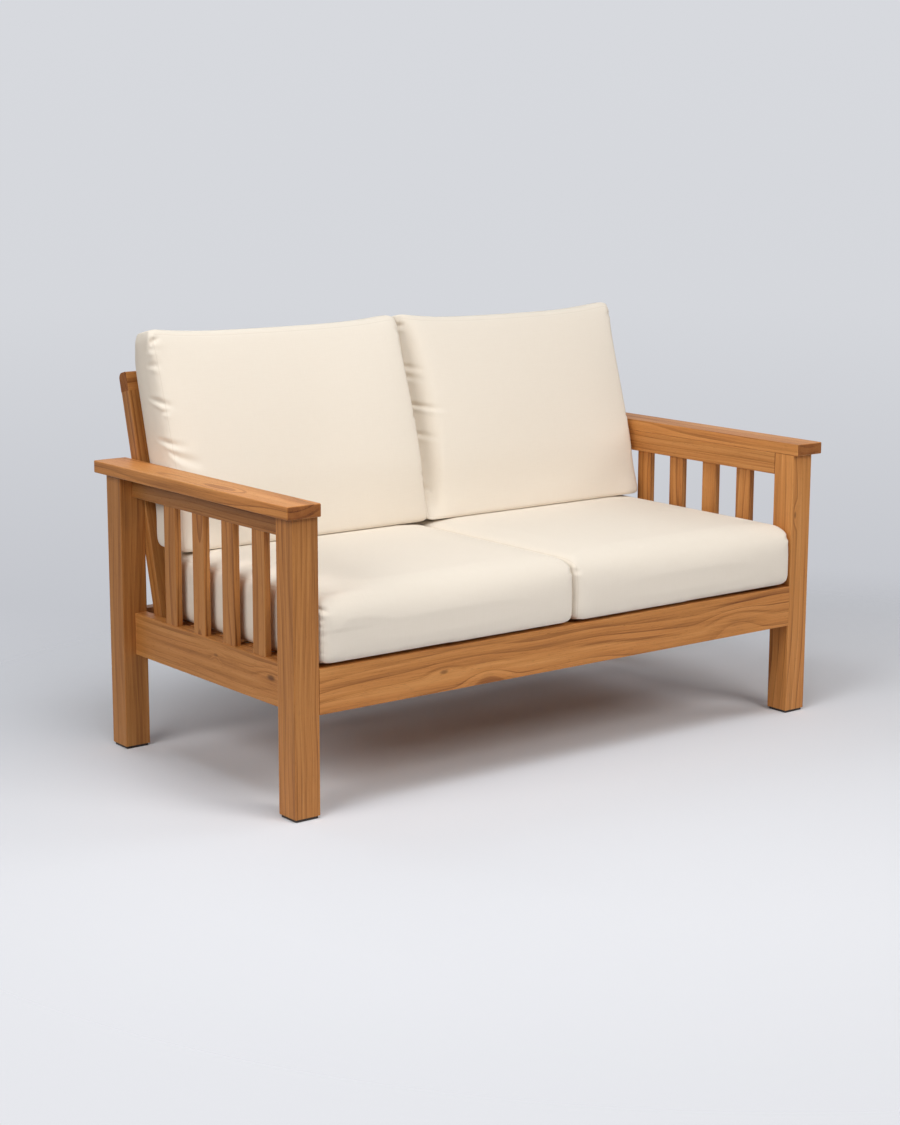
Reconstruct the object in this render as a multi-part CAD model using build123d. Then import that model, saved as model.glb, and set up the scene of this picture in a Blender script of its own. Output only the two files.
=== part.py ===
from build123d import *
from math import cos, radians, sin, tan
import os

# Patio loveseat: a teak frame with four loose boxed cushions. Millimetres, +X right, +Y back, +Z up.
#
# Each arm is a front and a rear leg joined by an upper and a lower side rail with four upright slats between
# them, under a flat armrest. A front and a rear rail join the two arms. Boards on three bearers make the seat
# deck. A back frame of two stiles, a crest rail, a lower rail and ten slats leans between the rear legs,
# bolted to them. The rails, slats and stiles are tenoned, and the boards and side bearers are screwed down.
# Each cushion is a cover with its fibre wrap, drawn as one skin, round a foam block, and a zip closes it.
#
# The frame is drawn with Y = 0 at the front faces of the legs. At the end everything moves along Y, so that
# the origin lies on the floor under the middle of the whole.

# Frame over the legs
FRAME_WIDTH = 1450.0
FRAME_DEPTH = 730.0
LEG_SIDE = 60.0
LEG_TOP = 614.0
LEG_EASE = 2.0

# Feet
GLIDE_HEIGHT = 6.0
GLIDE_INSET = 3.0
GLIDE_CORNER = 3.0
GLIDE_PIN_RADIUS = 2.0
GLIDE_PIN_LENGTH = 16.0

# Armrests
ARMREST_THICKNESS = 27.0
ARMREST_OUTER_OVERHANG = 20.0
ARMREST_FRONT_OVERHANG = 12.0
ARMREST_REAR_OVERHANG = 18.0
ARMREST_EASE = 2.5
LEG_TENON_SIDE = 30.0
LEG_TENON_HEIGHT = 14.0

# Rails
RAIL_THICKNESS = 30.0
SEAT_RAIL_TOP = 306.0
SEAT_RAIL_HEIGHT = 94.0
UPPER_RAIL_HEIGHT = 50.0
RAIL_EASE = 2.0
RAIL_TENON_THICKNESS = 12.0
RAIL_TENON_SHOULDER = 8.0
SIDE_TENON_LENGTH = 20.0
CROSS_TENON_LENGTH = 26.0

# Arm slats
ARM_SLAT_COUNT = 4
ARM_SLAT_WIDTH = 46.0
ARM_SLAT_THICKNESS = 15.0
ARM_SLAT_RECESS = 2.0
ARM_SLAT_FRONT_GAP = 91.0
ARM_SLAT_REAR_GAP = 128.0
SLAT_TENON_LENGTH = 10.0
SLAT_TENON_SHOULDER = 3.0
SLAT_EASE = 1.5

# Seat deck
DECK_BOARD_COUNT = 6
DECK_BOARD_WIDTH = 68.0
DECK_BOARD_THICKNESS = 18.0
DECK_BOARD_EASE = 2.0
DECK_FRONT_GAP = 5.0
DECK_REAR_GAP = 12.0
DECK_END_GAP = 1.0
SIDE_BEARER_WIDTH = 25.0
SIDE_BEARER_HEIGHT = 35.0
CENTRE_BEARER_WIDTH = 30.0
CENTRE_BEARER_HEIGHT = 50.0
BEARER_TENON_LENGTH = 10.0

# Back frame, which leans about a line at the height of the deck
BACK_LEAN_DEGREES = 14.0
BACK_SETBACK = 122.0
BACK_THICKNESS = 32.0
STILE_WIDTH = 45.0
STILE_BELOW_DECK = 86.0
STILE_EASE = 2.0
STILE_TENON_LENGTH = 18.0
CREST_SEAM = 499.0
CREST_HEIGHT = 42.0
CREST_FRONT_ROUND = 5.0
CREST_REAR_ROUND = 13.0
LOWER_RAIL_RISE = 26.0
LOWER_RAIL_HEIGHT = 60.0
BACK_SLAT_COUNT = 10
BACK_SLAT_WIDTH = 46.0
BACK_SLAT_THICKNESS = 15.0

# Fastenings
BRACKET_FLANGE = 50.0
BRACKET_HEIGHT = 32.0
BRACKET_THICKNESS = 3.0
BRACKET_BELOW_BEARER = 8.0
BRACKET_SCREW_NEAR = 13.0
BRACKET_SCREW_FAR = 40.0
SCREW_RADIUS = 2.0
BRACKET_SCREW_LENGTH = 20.0
PAN_HEAD_RADIUS = 4.0
PAN_HEAD_HEIGHT = 2.4
PAN_HEAD_ROUND = 1.2
DECK_SCREW_LENGTH = 34.0
DECK_SCREW_HEAD_RADIUS = 4.2
DECK_SCREW_HEAD_DEPTH = 3.0
DECK_SCREW_SPACING = 36.0
BEARER_SCREW_COUNT = 3
BEARER_SCREW_INSET = 70.0
BOLT_RADIUS = 4.0
BOLT_BITE = 22.0
BOLT_HEAD_ACROSS = 13.0
BOLT_HEAD_HEIGHT = 5.5
BOLT_FLANGE_RADIUS = 9.0
BOLT_FLANGE_THICKNESS = 1.6
BOLT_BELOW_DECK = 46.0
BOLT_BELOW_ARMREST = 27.5

# Clearances
JOINT_PLAY = 0.15
SCREW_PLAY = 0.1
REST_GAP = 0.3
SIDE_GAP = 1.0
LEAST_ARC_RISE = 0.3

# Seat cushions
SEAT_CUSHION_OVERHANG = 7.0
SEAT_REAR_GAP = 3.0
SEAT_CUSHION_HEIGHT = 142.0
SEAT_CROWN = 9.0
SEAT_FRONT_BULGE = 5.0
SEAT_FRONT_TOP_ROUND = 30.0
SEAT_FRONT_FOOT_ROUND = 12.0
SEAT_REAR_ROUND = 16.0

# Back cushions
BACK_CUSHION_HEIGHT = 473.0
BACK_CUSHION_FOOT_THICKNESS = 140.0
BACK_CUSHION_HEAD_THICKNESS = 114.0
BACK_CUSHION_BULGE = 14.0
BACK_CUSHION_DIP = 16.0
BACK_END_BULGE_SHARE = 0.25
BACK_TOP_CROWN = 8.0
BACK_FRONT_ROUND = 22.0
BACK_REAR_ROUND = 36.0

# Covers, cores and zips
EDGE_DRAW = 13.0
FIBRE_WRAP = 16.0
CORE_PLAY = 0.3
ZIP_LENGTH = 470.0
ZIP_TAPE_WIDTH = 24.0
ZIP_TAPE_THICKNESS = 0.8
ZIP_COIL_WIDTH = 5.0
ZIP_COIL_HEIGHT = 0.6
ZIP_SLIDER_LENGTH = 11.0
ZIP_SLIDER_WIDTH = 8.0
ZIP_RECESS = 1.6
ZIP_PLAY = 0.2

# Where the cushions' cross sections stand, as shares of half the width, and how much of the edge's
# drawing-in and of the crown each one has
STATION_SHARES = (-1.0, -0.99, -0.96, -0.8, -0.55, -0.28, 0.0, 0.28, 0.55, 0.8, 0.96, 0.99, 1.0)
DRAW_SHARES = (1.0, 0.45, 0.1, 0.0, 0.0, 0.0, 0.0, 0.0, 0.0, 0.0, 0.1, 0.45, 1.0)
CROWN_SHARES = (0.0, 0.03, 0.1, 0.42, 0.74, 0.93, 1.0, 0.93, 0.74, 0.42, 0.1, 0.03, 0.0)

# Sizes that follow from the ones above
OUTER_HALF = FRAME_WIDTH / 2
INNER_HALF = OUTER_HALF - LEG_SIDE
LEG_BASE = GLIDE_HEIGHT
SEAT_RAIL_FOOT = SEAT_RAIL_TOP - SEAT_RAIL_HEIGHT
UPPER_RAIL_FOOT = LEG_TOP - UPPER_RAIL_HEIGHT
DECK_TOP = SEAT_RAIL_TOP
BEARER_TOP = DECK_TOP - DECK_BOARD_THICKNESS
DECK_FRONT = RAIL_THICKNESS + DECK_FRONT_GAP
LEAN = radians(BACK_LEAN_DEGREES)
REAR_RAIL_FRONT = FRAME_DEPTH - RAIL_THICKNESS
BACK_FOOT_DEPTH = FRAME_DEPTH - BACK_SETBACK
STILE_TOP = CREST_SEAM
LOWER_RAIL_TOP = LOWER_RAIL_RISE + LOWER_RAIL_HEIGHT
BRACKET_TOP = BEARER_TOP - SIDE_BEARER_HEIGHT - BRACKET_BELOW_BEARER
SEAT_BASE = DECK_TOP + REST_GAP
SEAT_EDGE_TOP = SEAT_BASE + SEAT_CUSHION_HEIGHT
SEAT_CUSHION_DEPTH = SEAT_CUSHION_OVERHANG + BACK_FOOT_DEPTH - SEAT_REAR_GAP
SEAT_FRONT = -SEAT_CUSHION_OVERHANG
SEAT_REAR = SEAT_FRONT + SEAT_CUSHION_DEPTH
CUSHION_HALF = (INNER_HALF - SIDE_GAP) / 2
CUSHION_MIDDLE = -CUSHION_HALF - SIDE_GAP / 2
BACK_BASE = SEAT_EDGE_TOP + LEAST_ARC_RISE + SEAT_CROWN + REST_GAP
BACK_CUSHION_TOP = BACK_BASE + BACK_CUSHION_HEIGHT
BOLT_HEIGHTS = (DECK_TOP - BOLT_BELOW_DECK, LEG_TOP - BOLT_BELOW_ARMREST)
BOLT_RISES = [(height - DECK_TOP + BACK_THICKNESS / 2 * sin(LEAN)) / cos(LEAN) for height in BOLT_HEIGHTS]

# Turns the back frame's own upright sizes (x, depth, rise) into place
BACK_PLANE = Plane(origin=(0, BACK_FOOT_DEPTH, DECK_TOP), x_dir=(1, 0, 0), z_dir=(0, sin(LEAN), cos(LEAN)))


def block(low, high):
    """A box from its lowest to its highest corner."""
    sizes = [end - start for start, end in zip(low, high)]
    return Pos(*low) * Box(*sizes, align=(Align.MIN, Align.MIN, Align.MIN))


def rod(start, along, radius, length):
    """A round bar from its start, along a direction."""
    place = Location(Plane(origin=start, z_dir=along))
    return place * Cylinder(radius, length, align=(Align.CENTER, Align.CENTER, Align.MIN))


def timber(low, high, grain, ease):
    """A sawn piece with its four long edges eased."""
    piece = block(low, high)
    return fillet(piece.edges().filter_by(grain), ease)


def mirrored(piece):
    """The other hand of a piece."""
    return mirror(piece, about=Plane.YZ)


def leaned(piece):
    """Leans a piece that is drawn upright in the back frame's own sizes."""
    return Location(BACK_PLANE) * piece


def back_front_at(height):
    """Depth of the back frame's front face at a height above the floor."""
    return BACK_FOOT_DEPTH + (height - DECK_TOP) * tan(LEAN)


def side_tenon(face, into, foot, top, play):
    """A side rail's tenon: from a leg's face into the leg, which lies forward (-1) or back (+1)."""
    middle = -INNER_HALF - RAIL_THICKNESS / 2
    half = RAIL_TENON_THICKNESS / 2 + play
    reach = face + into * (SIDE_TENON_LENGTH + play)
    low = (middle - half, min(face, reach), foot + RAIL_TENON_SHOULDER - play)
    high = (middle + half, max(face, reach), top - RAIL_TENON_SHOULDER + play)
    return block(low, high)


def cross_tenon(rail_front, play):
    """The left tenon of the front or the rear rail."""
    middle = rail_front + RAIL_THICKNESS / 2
    half = RAIL_TENON_THICKNESS / 2 + play
    reach = CROSS_TENON_LENGTH + play
    low = (-INNER_HALF - reach, middle - half, SEAT_RAIL_FOOT + RAIL_TENON_SHOULDER - play)
    high = (-INNER_HALF, middle + half, SEAT_RAIL_TOP - RAIL_TENON_SHOULDER + play)
    return block(low, high)


def leg_top_tenon(leg_front, play):
    """The square tenon that holds an armrest on a left leg."""
    middle_x = -OUTER_HALF + LEG_SIDE / 2
    middle_y = leg_front + LEG_SIDE / 2
    half = LEG_TENON_SIDE / 2 + play
    low = (middle_x - half, middle_y - half, LEG_TOP)
    high = (middle_x + half, middle_y + half, LEG_TOP + LEG_TENON_HEIGHT + play)
    return block(low, high)


def bracket_screw_places():
    """Where each bracket screw starts and the way it drives, for the two left brackets."""
    height = BRACKET_TOP - BRACKET_HEIGHT / 2
    places = []
    for rail_face, inward in ((RAIL_THICKNESS, 1), (REAR_RAIL_FRONT, -1)):
        for reach in (BRACKET_SCREW_NEAR, BRACKET_SCREW_FAR):
            rail_start = (-INNER_HALF + reach, rail_face + inward * BRACKET_THICKNESS, height)
            places.append((rail_start, (0, -inward, 0)))
            side_start = (-INNER_HALF + BRACKET_THICKNESS, rail_face + inward * reach, height)
            places.append((side_start, (-1, 0, 0)))
    return places


def bracket_screw_shanks(play):
    """The shanks of all bracket screws, or with play the holes that they need."""
    shanks = [rod(start, along, SCREW_RADIUS + play, BRACKET_SCREW_LENGTH + play)
              for start, along in bracket_screw_places()]
    return shanks + [mirrored(shank) for shank in shanks]


def deck_board_fronts():
    """The front edge of each deck board."""
    rear = back_front_at(BEARER_TOP) - DECK_REAR_GAP
    step = (rear - DECK_FRONT - DECK_BOARD_WIDTH) / (DECK_BOARD_COUNT - 1)
    return [DECK_FRONT + step * number for number in range(DECK_BOARD_COUNT)]


def countersunk_screw(start, along, play):
    """A countersunk screw whose head is flush at its start, or with play the hole that it needs."""
    standing = (Align.CENTER, Align.CENTER, Align.MIN)
    head = Cone(DECK_SCREW_HEAD_RADIUS + play, SCREW_RADIUS + play, DECK_SCREW_HEAD_DEPTH, align=standing)
    shank = Cylinder(SCREW_RADIUS + play, DECK_SCREW_LENGTH + play, align=standing)
    return Location(Plane(origin=start, z_dir=along)) * (head + shank)


def bearer_screw_fronts():
    """Where along its length each side bearer is screwed to its rail."""
    front = RAIL_THICKNESS + BEARER_SCREW_INSET
    rear = side_bearer_rear() - BEARER_SCREW_INSET
    step = (rear - front) / (BEARER_SCREW_COUNT - 1)
    return [front + step * number for number in range(BEARER_SCREW_COUNT)]


def side_bearer_rear():
    """Where a side bearer ends, just before the leaning stile."""
    return back_front_at(BEARER_TOP - SIDE_BEARER_HEIGHT) - DECK_REAR_GAP / 2


def deck_screws(play):
    """Screws through the deck boards into the bearers, and through the side bearers into the side rails."""
    screws = []
    side_x = INNER_HALF - SIDE_BEARER_WIDTH / 2
    for front in deck_board_fronts():
        middle = front + DECK_BOARD_WIDTH / 2
        for x in (-side_x, 0, side_x):
            for depth in (middle - DECK_SCREW_SPACING / 2, middle + DECK_SCREW_SPACING / 2):
                screws.append(countersunk_screw((x, depth, DECK_TOP), (0, 0, -1), play))
    height = BEARER_TOP - SIDE_BEARER_HEIGHT / 2
    for depth in bearer_screw_fronts():
        left = countersunk_screw((-INNER_HALF + SIDE_BEARER_WIDTH, depth, height), (-1, 0, 0), play)
        screws += [left, mirrored(left)]
    return screws


def back_bolt(rise, play):
    """A left bolt from the stile's inner face into the rail or leg beside it, in the back frame's sizes."""
    start = (-INNER_HALF + STILE_WIDTH, BACK_THICKNESS / 2, rise)
    return rod(start, (-1, 0, 0), BOLT_RADIUS + play, STILE_WIDTH + BOLT_BITE + play)


def back_bolt_holes():
    """The holes of all four bolts, in place."""
    holes = [leaned(back_bolt(rise, SCREW_PLAY)) for rise in BOLT_RISES]
    return holes + [mirrored(hole) for hole in holes]


def glide_pin(leg_front, play):
    """The pin that a left foot glide drives up into its leg."""
    place = (-OUTER_HALF + LEG_SIDE / 2, leg_front + LEG_SIDE / 2, 0)
    return rod(place, (0, 0, 1), GLIDE_PIN_RADIUS + play, GLIDE_HEIGHT + GLIDE_PIN_LENGTH + play)


def left_leg(leg_front, rail_front, side_face, into):
    """A left leg with its mortises, holes and top tenon."""
    low = (-OUTER_HALF, leg_front, LEG_BASE)
    high = (-OUTER_HALF + LEG_SIDE, leg_front + LEG_SIDE, LEG_TOP)
    leg = timber(low, high, Axis.Z, LEG_EASE)
    leg += leg_top_tenon(leg_front, 0)
    leg -= cross_tenon(rail_front, JOINT_PLAY)
    leg -= side_tenon(side_face, into, SEAT_RAIL_FOOT, SEAT_RAIL_TOP, JOINT_PLAY)
    leg -= side_tenon(side_face, into, UPPER_RAIL_FOOT, LEG_TOP, JOINT_PLAY)
    leg -= glide_pin(leg_front, SCREW_PLAY)
    leg -= bracket_screw_shanks(SCREW_PLAY)
    leg -= back_bolt_holes()
    return leg


def front_left_leg():
    """The left front leg."""
    return left_leg(0, 0, LEG_SIDE, -1)


def rear_left_leg():
    """The left rear leg."""
    leg_front = FRAME_DEPTH - LEG_SIDE
    return left_leg(leg_front, REAR_RAIL_FRONT, leg_front, 1)


def left_armrest():
    """The left armrest, on the leg tenons and the upper side rail."""
    low = (-OUTER_HALF - ARMREST_OUTER_OVERHANG, -ARMREST_FRONT_OVERHANG, LEG_TOP)
    high = (-INNER_HALF, FRAME_DEPTH + ARMREST_REAR_OVERHANG, LEG_TOP + ARMREST_THICKNESS)
    board = block(low, high)
    board = fillet(board.edges(), ARMREST_EASE)
    for leg_front in (0, FRAME_DEPTH - LEG_SIDE):
        board -= leg_top_tenon(leg_front, JOINT_PLAY)
    return board


def arm_slat_front(number):
    """The front edge of an arm slat, counted from the front. The slats are evenly spaced."""
    first = LEG_SIDE + ARM_SLAT_FRONT_GAP
    last = FRAME_DEPTH - LEG_SIDE - ARM_SLAT_REAR_GAP - ARM_SLAT_WIDTH
    return first + (last - first) / (ARM_SLAT_COUNT - 1) * number


def arm_slat_tenon(number, start, into, play):
    """An arm slat's stub tenon, down (-1) into the lower or up (+1) into the upper side rail."""
    outer = -INNER_HALF - RAIL_THICKNESS + ARM_SLAT_RECESS
    front = arm_slat_front(number)
    reach = start + into * (SLAT_TENON_LENGTH + play)
    low = (outer + SLAT_TENON_SHOULDER - play, front + SLAT_TENON_SHOULDER - play, min(start, reach))
    high = (outer + ARM_SLAT_THICKNESS - SLAT_TENON_SHOULDER + play,
            front + ARM_SLAT_WIDTH - SLAT_TENON_SHOULDER + play, max(start, reach))
    return block(low, high)


def left_arm_slat(number):
    """One upright slat of the left arm, with a stub tenon at each end."""
    outer = -INNER_HALF - RAIL_THICKNESS + ARM_SLAT_RECESS
    front = arm_slat_front(number)
    low = (outer, front, SEAT_RAIL_TOP)
    high = (outer + ARM_SLAT_THICKNESS, front + ARM_SLAT_WIDTH, UPPER_RAIL_FOOT)
    slat = timber(low, high, Axis.Z, SLAT_EASE)
    slat += arm_slat_tenon(number, SEAT_RAIL_TOP, -1, 0)
    slat += arm_slat_tenon(number, UPPER_RAIL_FOOT, 1, 0)
    return slat


def left_side_rail(foot, top, slat_start, slat_into):
    """A left side rail between the legs, with its tenons and the slats' mortises."""
    front_face = LEG_SIDE
    rear_face = FRAME_DEPTH - LEG_SIDE
    low = (-INNER_HALF - RAIL_THICKNESS, front_face, foot)
    high = (-INNER_HALF, rear_face, top)
    rail = timber(low, high, Axis.Y, RAIL_EASE)
    rail += side_tenon(front_face, -1, foot, top, 0)
    rail += side_tenon(rear_face, 1, foot, top, 0)
    for number in range(ARM_SLAT_COUNT):
        rail -= arm_slat_tenon(number, slat_start, slat_into, JOINT_PLAY)
    return rail


def left_lower_side_rail():
    """The deep side rail at seat height."""
    rail = left_side_rail(SEAT_RAIL_FOOT, SEAT_RAIL_TOP, SEAT_RAIL_TOP, -1)
    rail -= bracket_screw_shanks(SCREW_PLAY)
    rail -= deck_screws(SCREW_PLAY)
    rail -= back_bolt_holes()
    return rail


def left_upper_side_rail():
    """The side rail under the armrest."""
    return left_side_rail(UPPER_RAIL_FOOT, LEG_TOP, UPPER_RAIL_FOOT, 1) - back_bolt_holes()


def centre_bearer_tenon(face, into, play):
    """The centre bearer's stub tenon into the front (-1) or the rear (+1) rail."""
    half = RAIL_TENON_THICKNESS / 2 + play
    reach = face + into * (BEARER_TENON_LENGTH + play)
    foot = BEARER_TOP - CENTRE_BEARER_HEIGHT
    low = (-half, min(face, reach), foot + RAIL_TENON_SHOULDER - play)
    high = (half, max(face, reach), BEARER_TOP - RAIL_TENON_SHOULDER + play)
    return block(low, high)


def cross_rail(rail_front, inner_face, into):
    """The front or the rear rail, from arm to arm."""
    low = (-INNER_HALF, rail_front, SEAT_RAIL_FOOT)
    high = (INNER_HALF, rail_front + RAIL_THICKNESS, SEAT_RAIL_TOP)
    rail = timber(low, high, Axis.X, RAIL_EASE)
    tenon = cross_tenon(rail_front, 0)
    rail += [tenon, mirrored(tenon)]
    rail -= centre_bearer_tenon(inner_face, into, JOINT_PLAY)
    rail -= bracket_screw_shanks(SCREW_PLAY)
    return rail


def front_rail():
    """The deep rail under the seat cushions, flush with the front legs."""
    return cross_rail(0, RAIL_THICKNESS, -1)


def rear_rail():
    """The rail between the rear legs, flush with their backs."""
    return cross_rail(REAR_RAIL_FRONT, REAR_RAIL_FRONT, 1)


def left_side_bearer():
    """The bearer that carries the boards' left ends."""
    low = (-INNER_HALF, RAIL_THICKNESS, BEARER_TOP - SIDE_BEARER_HEIGHT)
    high = (-INNER_HALF + SIDE_BEARER_WIDTH, side_bearer_rear(), BEARER_TOP)
    return block(low, high) - deck_screws(SCREW_PLAY)


def centre_bearer():
    """The bearer from the front to the rear rail under the middle of the boards."""
    low = (-CENTRE_BEARER_WIDTH / 2, RAIL_THICKNESS, BEARER_TOP - CENTRE_BEARER_HEIGHT)
    high = (CENTRE_BEARER_WIDTH / 2, REAR_RAIL_FRONT, BEARER_TOP)
    bearer = block(low, high)
    bearer += centre_bearer_tenon(RAIL_THICKNESS, -1, 0)
    bearer += centre_bearer_tenon(REAR_RAIL_FRONT, 1, 0)
    return bearer - deck_screws(SCREW_PLAY)


def deck_board(front):
    """One board of the seat deck, from side rail to side rail."""
    half = INNER_HALF - DECK_END_GAP
    low = (-half, front, BEARER_TOP)
    high = (half, front + DECK_BOARD_WIDTH, DECK_TOP)
    return timber(low, high, Axis.X, DECK_BOARD_EASE) - deck_screws(SCREW_PLAY)


def stile_tenon(play):
    """The left stile's tenon up into the crest rail, in the back frame's sizes."""
    middle = -INNER_HALF + STILE_WIDTH / 2
    half = (STILE_WIDTH - 2 * RAIL_TENON_SHOULDER) / 2 + play
    depth_half = RAIL_TENON_THICKNESS / 2 + play
    low = (middle - half, BACK_THICKNESS / 2 - depth_half, STILE_TOP)
    high = (middle + half, BACK_THICKNESS / 2 + depth_half, STILE_TOP + STILE_TENON_LENGTH + play)
    return block(low, high)


def lower_rail_tenon(play):
    """The lower back rail's left tenon into the stile, in the back frame's sizes."""
    face = -INNER_HALF + STILE_WIDTH
    depth_half = RAIL_TENON_THICKNESS / 2 + play
    low = (face - STILE_TENON_LENGTH - play, BACK_THICKNESS / 2 - depth_half,
           LOWER_RAIL_RISE + RAIL_TENON_SHOULDER - play)
    high = (face, BACK_THICKNESS / 2 + depth_half, LOWER_RAIL_TOP - RAIL_TENON_SHOULDER + play)
    return block(low, high)


def left_back_stile():
    """The leaning upright at the left end of the back frame."""
    low = (-INNER_HALF, 0, -STILE_BELOW_DECK)
    high = (-INNER_HALF + STILE_WIDTH, BACK_THICKNESS, STILE_TOP)
    stile = timber(low, high, Axis.Z, STILE_EASE) + stile_tenon(0)
    stile -= lower_rail_tenon(JOINT_PLAY)
    for rise in BOLT_RISES:
        stile -= back_bolt(rise, SCREW_PLAY)
    return leaned(stile)


def back_slat_left(number):
    """The left edge of a back slat, counted from the left."""
    inner = INNER_HALF - STILE_WIDTH
    gap = (2 * inner - BACK_SLAT_COUNT * BACK_SLAT_WIDTH) / (BACK_SLAT_COUNT + 1)
    return -inner + gap + (BACK_SLAT_WIDTH + gap) * number


def back_slat_tenon(number, start, into, play):
    """A back slat's stub tenon, down (-1) into the lower rail or up (+1) into the crest rail."""
    left = back_slat_left(number)
    front = (BACK_THICKNESS - BACK_SLAT_THICKNESS) / 2
    reach = start + into * (SLAT_TENON_LENGTH + play)
    low = (left + SLAT_TENON_SHOULDER - play, front + SLAT_TENON_SHOULDER - play, min(start, reach))
    high = (left + BACK_SLAT_WIDTH - SLAT_TENON_SHOULDER + play,
            front + BACK_SLAT_THICKNESS - SLAT_TENON_SHOULDER + play, max(start, reach))
    return block(low, high)


def back_slat(number):
    """One upright slat of the back frame."""
    left = back_slat_left(number)
    front = (BACK_THICKNESS - BACK_SLAT_THICKNESS) / 2
    low = (left, front, LOWER_RAIL_TOP)
    high = (left + BACK_SLAT_WIDTH, front + BACK_SLAT_THICKNESS, STILE_TOP)
    slat = timber(low, high, Axis.Z, SLAT_EASE)
    slat += back_slat_tenon(number, LOWER_RAIL_TOP, -1, 0)
    slat += back_slat_tenon(number, STILE_TOP, 1, 0)
    return leaned(slat)


def crest_rail():
    """The rail on top of the stiles, with a rounded back edge."""
    low = (-INNER_HALF, 0, STILE_TOP)
    high = (INNER_HALF, BACK_THICKNESS, STILE_TOP + CREST_HEIGHT)
    rail = block(low, high)
    top_edges = rail.edges().filter_by(Axis.X).group_by(Axis.Z)[-1].sort_by(Axis.Y)
    rail = fillet(top_edges[0], CREST_FRONT_ROUND)
    top_edges = rail.edges().filter_by(Axis.X).sort_by(Axis.Z)
    rear_top = [edge for edge in top_edges if edge.center().Y > BACK_THICKNESS - CREST_FRONT_ROUND][-1]
    rail = fillet(rear_top, CREST_REAR_ROUND)
    tenon = stile_tenon(JOINT_PLAY)
    rail -= [tenon, mirrored(tenon)]
    for number in range(BACK_SLAT_COUNT):
        rail -= back_slat_tenon(number, STILE_TOP, 1, JOINT_PLAY)
    return leaned(rail)


def lower_back_rail():
    """The rail that holds the feet of the back slats, between the stiles."""
    inner = INNER_HALF - STILE_WIDTH
    low = (-inner, 0, LOWER_RAIL_RISE)
    high = (inner, BACK_THICKNESS, LOWER_RAIL_TOP)
    rail = timber(low, high, Axis.X, RAIL_EASE)
    tenon = lower_rail_tenon(0)
    rail += [tenon, mirrored(tenon)]
    for number in range(BACK_SLAT_COUNT):
        rail -= back_slat_tenon(number, LOWER_RAIL_TOP, -1, JOINT_PLAY)
    return leaned(rail)


def foot_glides():
    """Four nylon glides, each a square pad with a pin up into its leg."""
    glides = []
    for leg_front in (0, FRAME_DEPTH - LEG_SIDE):
        low = (-OUTER_HALF + GLIDE_INSET, leg_front + GLIDE_INSET, 0)
        high = (-OUTER_HALF + LEG_SIDE - GLIDE_INSET, leg_front + LEG_SIDE - GLIDE_INSET, GLIDE_HEIGHT)
        pad = timber(low, high, Axis.Z, GLIDE_CORNER) + glide_pin(leg_front, 0)
        glides += [pad, mirrored(pad)]
    return Compound(children=glides)


def corner_brackets():
    """Four steel angles that hold the front and rear rails to the arms from inside."""
    brackets = []
    for rail_face, inward in ((RAIL_THICKNESS, 1), (REAR_RAIL_FRONT, -1)):
        bracket = None
        for width, reach in ((BRACKET_FLANGE, BRACKET_THICKNESS), (BRACKET_THICKNESS, BRACKET_FLANGE)):
            front, rear = sorted((rail_face, rail_face + inward * reach))
            low = (-INNER_HALF, front, BRACKET_TOP - BRACKET_HEIGHT)
            high = (-INNER_HALF + width, rear, BRACKET_TOP)
            flange = block(low, high)
            bracket = bracket + flange if bracket else flange
        bracket -= bracket_screw_shanks(SCREW_PLAY)
        brackets += [bracket, mirrored(bracket)]
    return Compound(children=brackets)


def bracket_screws():
    """Pan head screws through the brackets."""
    screws = []
    for start, along in bracket_screw_places():
        outward = tuple(-value for value in along)
        head = Cylinder(PAN_HEAD_RADIUS, PAN_HEAD_HEIGHT, align=(Align.CENTER, Align.CENTER, Align.MIN))
        head = fillet(head.edges().sort_by(Axis.Z)[-1], PAN_HEAD_ROUND)
        screw = Location(Plane(origin=start, z_dir=outward)) * head
        screw += rod(start, along, SCREW_RADIUS, BRACKET_SCREW_LENGTH)
        screws += [screw, mirrored(screw)]
    return Compound(children=screws)


def back_frame_bolts():
    """Hexagon bolts with a flange that hold the stiles to the lower side rails and the rear legs."""
    bolts = []
    for rise in BOLT_RISES:
        start = (-INNER_HALF + STILE_WIDTH, BACK_THICKNESS / 2, rise)
        hexagon = RegularPolygon(BOLT_HEAD_ACROSS / 2, 6, major_radius=False)
        head = extrude(hexagon, BOLT_FLANGE_THICKNESS + BOLT_HEAD_HEIGHT)
        bolt = Location(Plane(origin=start, z_dir=(1, 0, 0))) * head
        bolt += rod(start, (1, 0, 0), BOLT_FLANGE_RADIUS, BOLT_FLANGE_THICKNESS)
        bolt += back_bolt(rise, 0)
        bolt = leaned(bolt)
        bolts += [bolt, mirrored(bolt)]
    return Compound(children=bolts)


def rounded_section(edges, corners):
    """A closed outline of four edges whose corners are rounded, given as (point, radius)."""
    face = make_face(edges)
    for point, radius in corners:
        corner = face.vertices().sort_by_distance((*point, 0))[0]
        face = fillet(corner, radius)
    return face


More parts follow.
